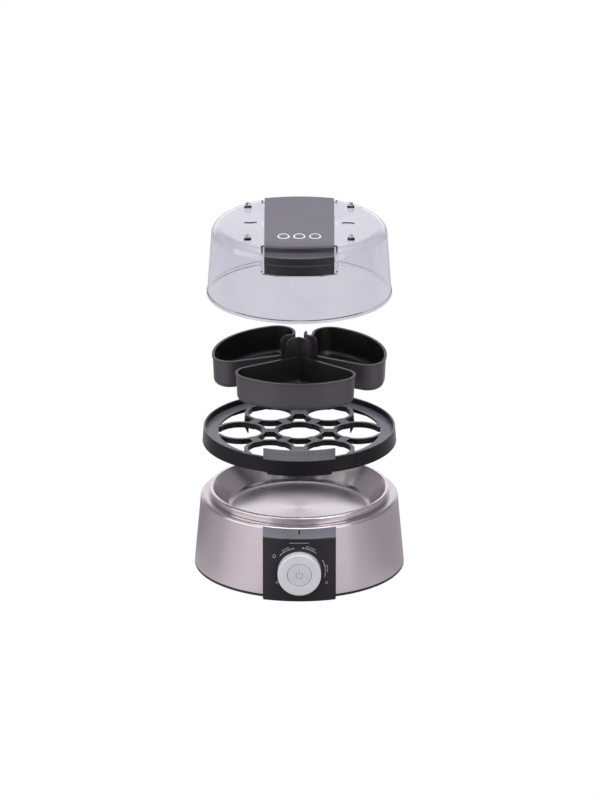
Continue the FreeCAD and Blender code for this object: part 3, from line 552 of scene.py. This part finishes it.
class EGG_OT_dial(bpy.types.Operator):
    """Finishes the dial and the push button with its mark"""
    bl_idname = "egg_cooker.dial"
    bl_label = "Dial and button"

    def execute(self, context):
        tones = context.scene.egg_cooker_colours
        sizes = context.scene.egg_cooker_print
        wear(["knob_ring"], moulded("Silver lacquer", tones.silver, 0.36, grain_depth=0.05,
                                    unevenness=0.04, edge=0.0006, Metallic=0.2,
                                    Coat_Weight=0.25, Coat_Roughness=0.15))
        wear(["start_button"], moulded("Button lacquer", [0.92 * c for c in tones.silver], 0.38,
                                       grain_depth=0.05, unevenness=0.04, edge=0.0006,
                                       Metallic=0.2, Coat_Weight=0.2, Coat_Roughness=0.2))
        wear(["knob_hub"], moulded("Dial carrier", tones.black, 0.45))
        wear(["knob_pointer"], moulded("Pointer inlay", (0.85, 0.85, 0.87), 0.4, edge=0.0002))
        grey = moulded("Grey print", tones.print_grey, 0.5, grain_depth=0.05, edge=0.0001)

        def power_mark(bm):
            ribbon(bm, 3.0 * MM, 0.55 * MM, 35, 325, steps=48)
            dash(bm, 0.0, 1.2 * MM, 4.2 * MM, 0.27 * MM)

        def on_button(point):
            return Vector((point.x, BUTTON_FACE - sizes.ink * 0.25, point.z + DIAL_CENTRE.z))

        printed("power_mark", power_mark, on_button, sizes.ink, grey, "button")
        self.wave_spring()
        return {"FINISHED"}

    def wave_spring(self):
        """Flat wire wound in three wavy turns."""
        low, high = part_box("button_spring")
        outer, wave, wire = (high.x - low.x) / 2, 0.25 * MM, 0.3 * MM
        turns, steps = 3, 108
        rise = high.y - low.y - 2 * wave - wire
        bm = bmesh.new()
        pair = [bm.verts.new((radius, 0.0, 0.0)) for radius in (0.73 * outer, outer)]
        edge = bm.edges.new(pair)
        bmesh.ops.spin(bm, geom=pair + [edge], cent=(0, 0, 0), axis=(0, 1, 0),
                       dvec=(0, rise / steps, 0), angle=2 * math.pi * turns, steps=steps)
        waves = 3.5 * turns
        for vert in bm.verts:
            vert.co.y += wave * math.cos(2 * math.pi * waves * vert.co.y / rise)
        bmesh.ops.translate(bm, verts=bm.verts, vec=(0.0, low.y + wave + wire / 2, DIAL_CENTRE.z))
        bmesh.ops.recalc_face_normals(bm, faces=bm.faces)
        bmesh.ops.solidify(bm, geom=bm.faces[:], thickness=wire)
        bmesh.ops.recalc_face_normals(bm, faces=bm.faces)
        spring = new_piece("wave_spring", bm, zinc_plate("Spring steel"), "button")
        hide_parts("button_spring")
        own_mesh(spring)


class EGG_OT_rack(bpy.types.Operator):
    """Finishes the egg rack"""
    bl_idname = "egg_cooker.rack"
    bl_label = "Egg rack"

    def execute(self, context):
        tones = context.scene.egg_cooker_colours
        # Upward faces of the rack get painted sheen, a lighter tone for light from above.
        wear(["egg_rack"], paint_top_sheen(moulded("Rack plastic", tones.black, 0.24, grain_depth=0.10,
                                             edge=0.0005, Specular_IOR_Level=0.25),
                                     tones.black, tones.top_sheen_paint, 0.60))
        return {"FINISHED"}


class EGG_OT_cups(bpy.types.Operator):
    """Finishes the three poaching cups"""
    bl_idname = "egg_cooker.cups"
    bl_label = "Poaching cups"

    def execute(self, context):
        tones = context.scene.egg_cooker_colours
        for cup in ("cup_front", "cup_left", "cup_right"):
            wear([cup], self.two_coats(cup, tones))
        return {"FINISHED"}

    def two_coats(self, cup, tones):
        """Non-stick black where the wall faces the cup's middle, and grey enamel outside."""
        material, tree, bsdf = new_material("Coating of " + cup, Specular_IOR_Level=0.8)
        holder = surface_from(tree, bsdf, shared_group("Moulded grain", moulded_grain_group), {
            "Roughness": 0.38, "Grain scale": 3200.0, "Grain depth": 0.16, "Unevenness": 0.10,
            "Edge radius": 0.0004})
        low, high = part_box(cup)
        place = add_node(tree, "ShaderNodeTexCoord")
        facing = add_node(tree, "ShaderNodeNewGeometry")
        offset = add_node(tree, "ShaderNodeVectorMath", operation="SUBTRACT")
        offset.inputs[1].default_value = (low + high) / 2
        flat = add_node(tree, "ShaderNodeVectorMath", operation="MULTIPLY")
        flat.inputs[1].default_value = (1.0, 1.0, 0.0)
        aligned = add_node(tree, "ShaderNodeVectorMath", operation="DOT_PRODUCT")
        apart = add_node(tree, "ShaderNodeSeparateXYZ")
        below = add_node(tree, "ShaderNodeMath", operation="LESS_THAN")
        below.inputs[1].default_value = -0.3
        outward = add_node(tree, "ShaderNodeMapRange", {"From Min": 0.0, "From Max": 0.004})
        outside = add_node(tree, "ShaderNodeMath", operation="MAXIMUM")
        join(tree, (place.outputs["Object"], offset.inputs[0]),
             (offset.outputs[0], flat.inputs[0]), (flat.outputs[0], aligned.inputs[0]),
             (facing.outputs["Normal"], aligned.inputs[1]),
             (aligned.outputs["Value"], outward.inputs["Value"]),
             (facing.outputs["Normal"], apart.inputs[0]), (apart.outputs["Z"], below.inputs[0]),
             (outward.outputs["Result"], outside.inputs[0]),
             (below.outputs[0], outside.inputs[1]))
        two_tone(tree, holder, tones.coating, tones.cup_outside, outside.outputs[0])
        return material


class EGG_OT_lid(bpy.types.Operator):
    """Finishes the clear lid, its strap and its handle ends"""
    bl_idname = "egg_cooker.lid"
    bl_label = "Lid"

    def execute(self, context):
        tones = context.scene.egg_cooker_colours
        sizes = context.scene.egg_cooker_print
        clear, tree, bsdf = new_material("Clear moulded lid", Transmission_Weight=1.0, IOR=1.49)
        surface_from(tree, bsdf, shared_group("Moulded grain", moulded_grain_group), {
            "Colour": opaque(tones.clear), "Roughness": 0.03, "Grain scale": 30.0,
            "Grain depth": 0.12, "Unevenness": 0.03, "Edge radius": 0.0004})
        wear(["lid_shell"], clear)
        wear(["lid_handle"], moulded("Strap plastic", tones.strap, 0.42, grain_depth=0.12,
                                     edge=0.0005))
        wear(["lid_grip_front", "lid_grip_rear"], self.two_shot_grip(tones))
        pale = moulded("Pale print", (0.80, 0.79, 0.84), 0.4, grain_depth=0.05, edge=0.0001)

        def emblem(bm):
            for place in (-1, 0, 1):
                before = set(bm.verts)
                egg_loop(bm, sizes.emblem_length, sizes.emblem_line)
                moved_verts(bm, before, (place * sizes.emblem_length * 0.98, 0, 0))

        def on_strap(point):
            return Vector((point.x, point.z - sizes.emblem_reach, STRAP_TOP + sizes.ink * 0.25))

        printed("strap_emblem", emblem, on_strap, sizes.ink, pale, "lid")
        return {"FINISHED"}

    def two_shot_grip(self, tones):
        """Black grip with the strap's grey on its upper ledge."""
        material, tree, bsdf = new_material("Grip plastic")
        holder = surface_from(tree, bsdf, shared_group("Moulded grain", moulded_grain_group), {
            "Roughness": 0.34, "Grain scale": 2500.0, "Grain depth": 0.12, "Unevenness": 0.08,
            "Edge radius": 0.0005})
        ledge = LID_RIM + 61.0 * MM
        place = add_node(tree, "ShaderNodeTexCoord")
        apart = add_node(tree, "ShaderNodeSeparateXYZ")
        high = add_node(tree, "ShaderNodeMapRange", {"From Min": ledge - 0.3 * MM,
                                                     "From Max": ledge})
        join(tree, (place.outputs["Object"], apart.inputs[0]),
             (apart.outputs["Z"], high.inputs["Value"]))
        two_tone(tree, holder, [1.6 * c for c in tones.black], [0.8 * c for c in tones.strap],
                 high.outputs["Result"])
        return material


class EGG_OT_studio(bpy.types.Operator):
    """Sets up the white sweep, the soft boxes and the camera"""
    bl_idname = "egg_cooker.studio"
    bl_label = "Studio"

    def execute(self, context):
        studio = context.scene.egg_cooker_studio
        bm = bmesh.new()
        bmesh.ops.create_grid(bm, x_segments=1, y_segments=1, size=studio.floor_size / 2)
        new_object("studio_floor", bm, self.paper())
        self.soft_box("left_box", context, azimuth=-64, elevation=14, width=2.1, height=1.5,
                      brightness=studio.box_brightness)
        self.soft_box("right_box", context, azimuth=42, elevation=14, width=1.3, height=1.5,
                      brightness=studio.box_brightness)
        self.soft_box("top_box", context, azimuth=0, elevation=74, width=2.2, height=2.2,
                      brightness=studio.top_brightness)
        context.scene.world = self.room()
        context.scene.view_settings.view_transform = "Standard"
        aim = Vector((studio.aim_side, 0.0, studio.aim_height))
        away = Vector((0.0, -math.cos(studio.elevation), math.sin(studio.elevation)))
        lens = bpy.data.cameras.new("main_camera")
        lens.lens = lens.sensor_width * studio.distance / studio.view_height
        lens.clip_end = 60.0
        camera = bpy.data.objects.new("main_camera", lens)
        camera.location = aim + away * studio.distance
        camera.rotation_euler = (-away).to_track_quat("-Z", "Y").to_euler()
        context.scene.collection.objects.link(camera)
        context.scene.camera = camera
        return {"FINISHED"}

    def paper(self):
        """Shadowless paper: white to look at, with brighter pools left and right as a light."""
        material, tree, bsdf = new_material("Studio paper", Base_Color=(0, 0, 0, 1.0),
                                            Roughness=1.0, Specular_IOR_Level=0.0,
                                            Emission_Strength=1.0)
        place = add_node(tree, "ShaderNodeTexCoord")
        apart = add_node(tree, "ShaderNodeSeparateXYZ")
        depth = add_node(tree, "ShaderNodeMapRange", {"From Min": 0.15, "From Max": 0.45})
        aside = add_node(tree, "ShaderNodeMath", operation="ABSOLUTE")
        middle = add_node(tree, "ShaderNodeMapRange", {"From Min": 1.5, "From Max": 0.7})
        both = add_node(tree, "ShaderNodeMath", operation="MULTIPLY")
        around = add_node(tree, "ShaderNodeTexGradient", gradient_type="RADIAL")
        pools = add_node(tree, "ShaderNodeValToRGB")
        pools.color_ramp.interpolation = "EASE"
        # degrees to the right of the front, and the light there
        stops = pools.color_ramp.elements
        for turn, level in ((-40, 0.72), (0, 0.30), (45, 0.64), (90, 0.42), (235, 0.30)):
            stops.new(turn / 360 + 0.25).color = (level, 0.96 * level, 1.03 * level, 1.0)
        for full_left in (stops[0], stops[-1]):
            full_left.color = (0.50, 0.48, 0.515, 1.0)
        light = add_node(tree, "ShaderNodeMix", data_type="RGBA")
        light.inputs[7].default_value = (0.645, 0.63, 0.70, 1.0)
        join(tree, (place.outputs["Object"], apart.inputs[0]),
             (place.outputs["Object"], around.inputs["Vector"]),
             (around.outputs["Fac"], pools.inputs["Fac"]),
             (pools.outputs["Color"], light.inputs[6]),
             (apart.outputs["Y"], depth.inputs["Value"]), (apart.outputs["X"], aside.inputs[0]),
             (aside.outputs[0], middle.inputs["Value"]),
             (depth.outputs["Result"], both.inputs[0]), (middle.outputs["Result"], both.inputs[1]),
             (both.outputs[0], light.inputs[0]))
        white_when_looked_at(tree, light.outputs[2], bsdf.inputs["Emission Color"])
        return material

    def room(self):
        """White backdrop and ceiling with darker sides, pure white where it is looked at."""
        world = bpy.data.worlds.new("Studio room")
        world.use_nodes = True
        tree = world.node_tree
        place = add_node(tree, "ShaderNodeTexCoord")
        apart = add_node(tree, "ShaderNodeSeparateXYZ")
        behind = add_node(tree, "ShaderNodeMapRange", {"From Min": 0.74, "From Max": 0.95,
                                                       "To Min": 0.0, "To Max": 1.0},
                          interpolation_type="SMOOTHSTEP")
        above = add_node(tree, "ShaderNodeMapRange", {"From Min": 0.6, "From Max": 0.97,
                                                      "To Min": 0.0, "To Max": 0.9},
                         interpolation_type="SMOOTHSTEP")
        most = add_node(tree, "ShaderNodeMath", operation="MAXIMUM")
        light = add_node(tree, "ShaderNodeMix", data_type="RGBA")
        light.inputs[6].default_value = (0.27, 0.262, 0.285, 1.0)
        light.inputs[7].default_value = (1.06, 1.05, 1.11, 1.0)
        join(tree, (place.outputs["Generated"], apart.inputs[0]),
             (apart.outputs["Y"], behind.inputs["Value"]),
             (apart.outputs["Z"], above.inputs["Value"]),
             (behind.outputs["Result"], most.inputs[0]),
             (above.outputs["Result"], most.inputs[1]),
             (most.outputs[0], light.inputs[0]))
        white_when_looked_at(tree, light.outputs[2], tree.nodes["Background"].inputs["Color"])
        return world

    def soft_box(self, name, context, azimuth, elevation, width, height, brightness):
        """Rectangular light 2 m from the cooker; azimuth 0 is in front, positive to the right."""
        turn, lift = math.radians(azimuth), math.radians(elevation)
        away = Vector((math.sin(turn) * math.cos(lift), -math.cos(turn) * math.cos(lift),
                       math.sin(lift)))
        data = bpy.data.lights.new(name, "AREA")
        data.shape = "RECTANGLE"
        data.size, data.size_y = width, height
        data.energy = brightness * math.pi * width * height
        lamp = bpy.data.objects.new(name, data)
        lamp.location = Vector((0.0, 0.0, 0.15)) + away * 2.0
        lamp.rotation_euler = (-away).to_track_quat("-Z", "Y").to_euler()
        context.scene.collection.objects.link(lamp)


class EGG_PT_panel(bpy.types.Panel):
    """Lists the steps that finish the egg cooker"""
    bl_idname = "EGG_PT_panel"
    bl_label = "Egg Cooker"
    bl_space_type = "VIEW_3D"
    bl_region_type = "UI"
    bl_category = "Egg Cooker"

    def draw(self, context):
        layout = self.layout
        for settings in ("egg_cooker_colours", "egg_cooker_print", "egg_cooker_studio"):
            group = getattr(context.scene, settings)
            for name in group.bl_rna.properties.keys():
                if name not in {"rna_type", "name"}:
                    layout.prop(group, name)
        for step in STEPS:
            layout.operator(step.bl_idname)


SETTINGS = {"egg_cooker_colours": EggCookerColours, "egg_cooker_print": EggCookerPrint,
            "egg_cooker_studio": EggCookerStudio}
STEPS = (EGG_OT_studio, EGG_OT_base, EGG_OT_inside, EGG_OT_panel, EGG_OT_dial, EGG_OT_rack,
         EGG_OT_cups, EGG_OT_lid)


def register():
    for cls in (*SETTINGS.values(), *STEPS, EGG_PT_panel):
        bpy.utils.register_class(cls)
    for name, cls in SETTINGS.items():
        setattr(bpy.types.Scene, name, PointerProperty(type=cls))


def unregister():
    for name in SETTINGS:
        delattr(bpy.types.Scene, name)
    for cls in reversed((*SETTINGS.values(), *STEPS, EGG_PT_panel)):
        bpy.utils.unregister_class(cls)


def main():
    register()
    for step in STEPS:
        group, name = step.bl_idname.split(".")
        getattr(getattr(bpy.ops, group), name)()


if __name__ == "__main__":
    main()
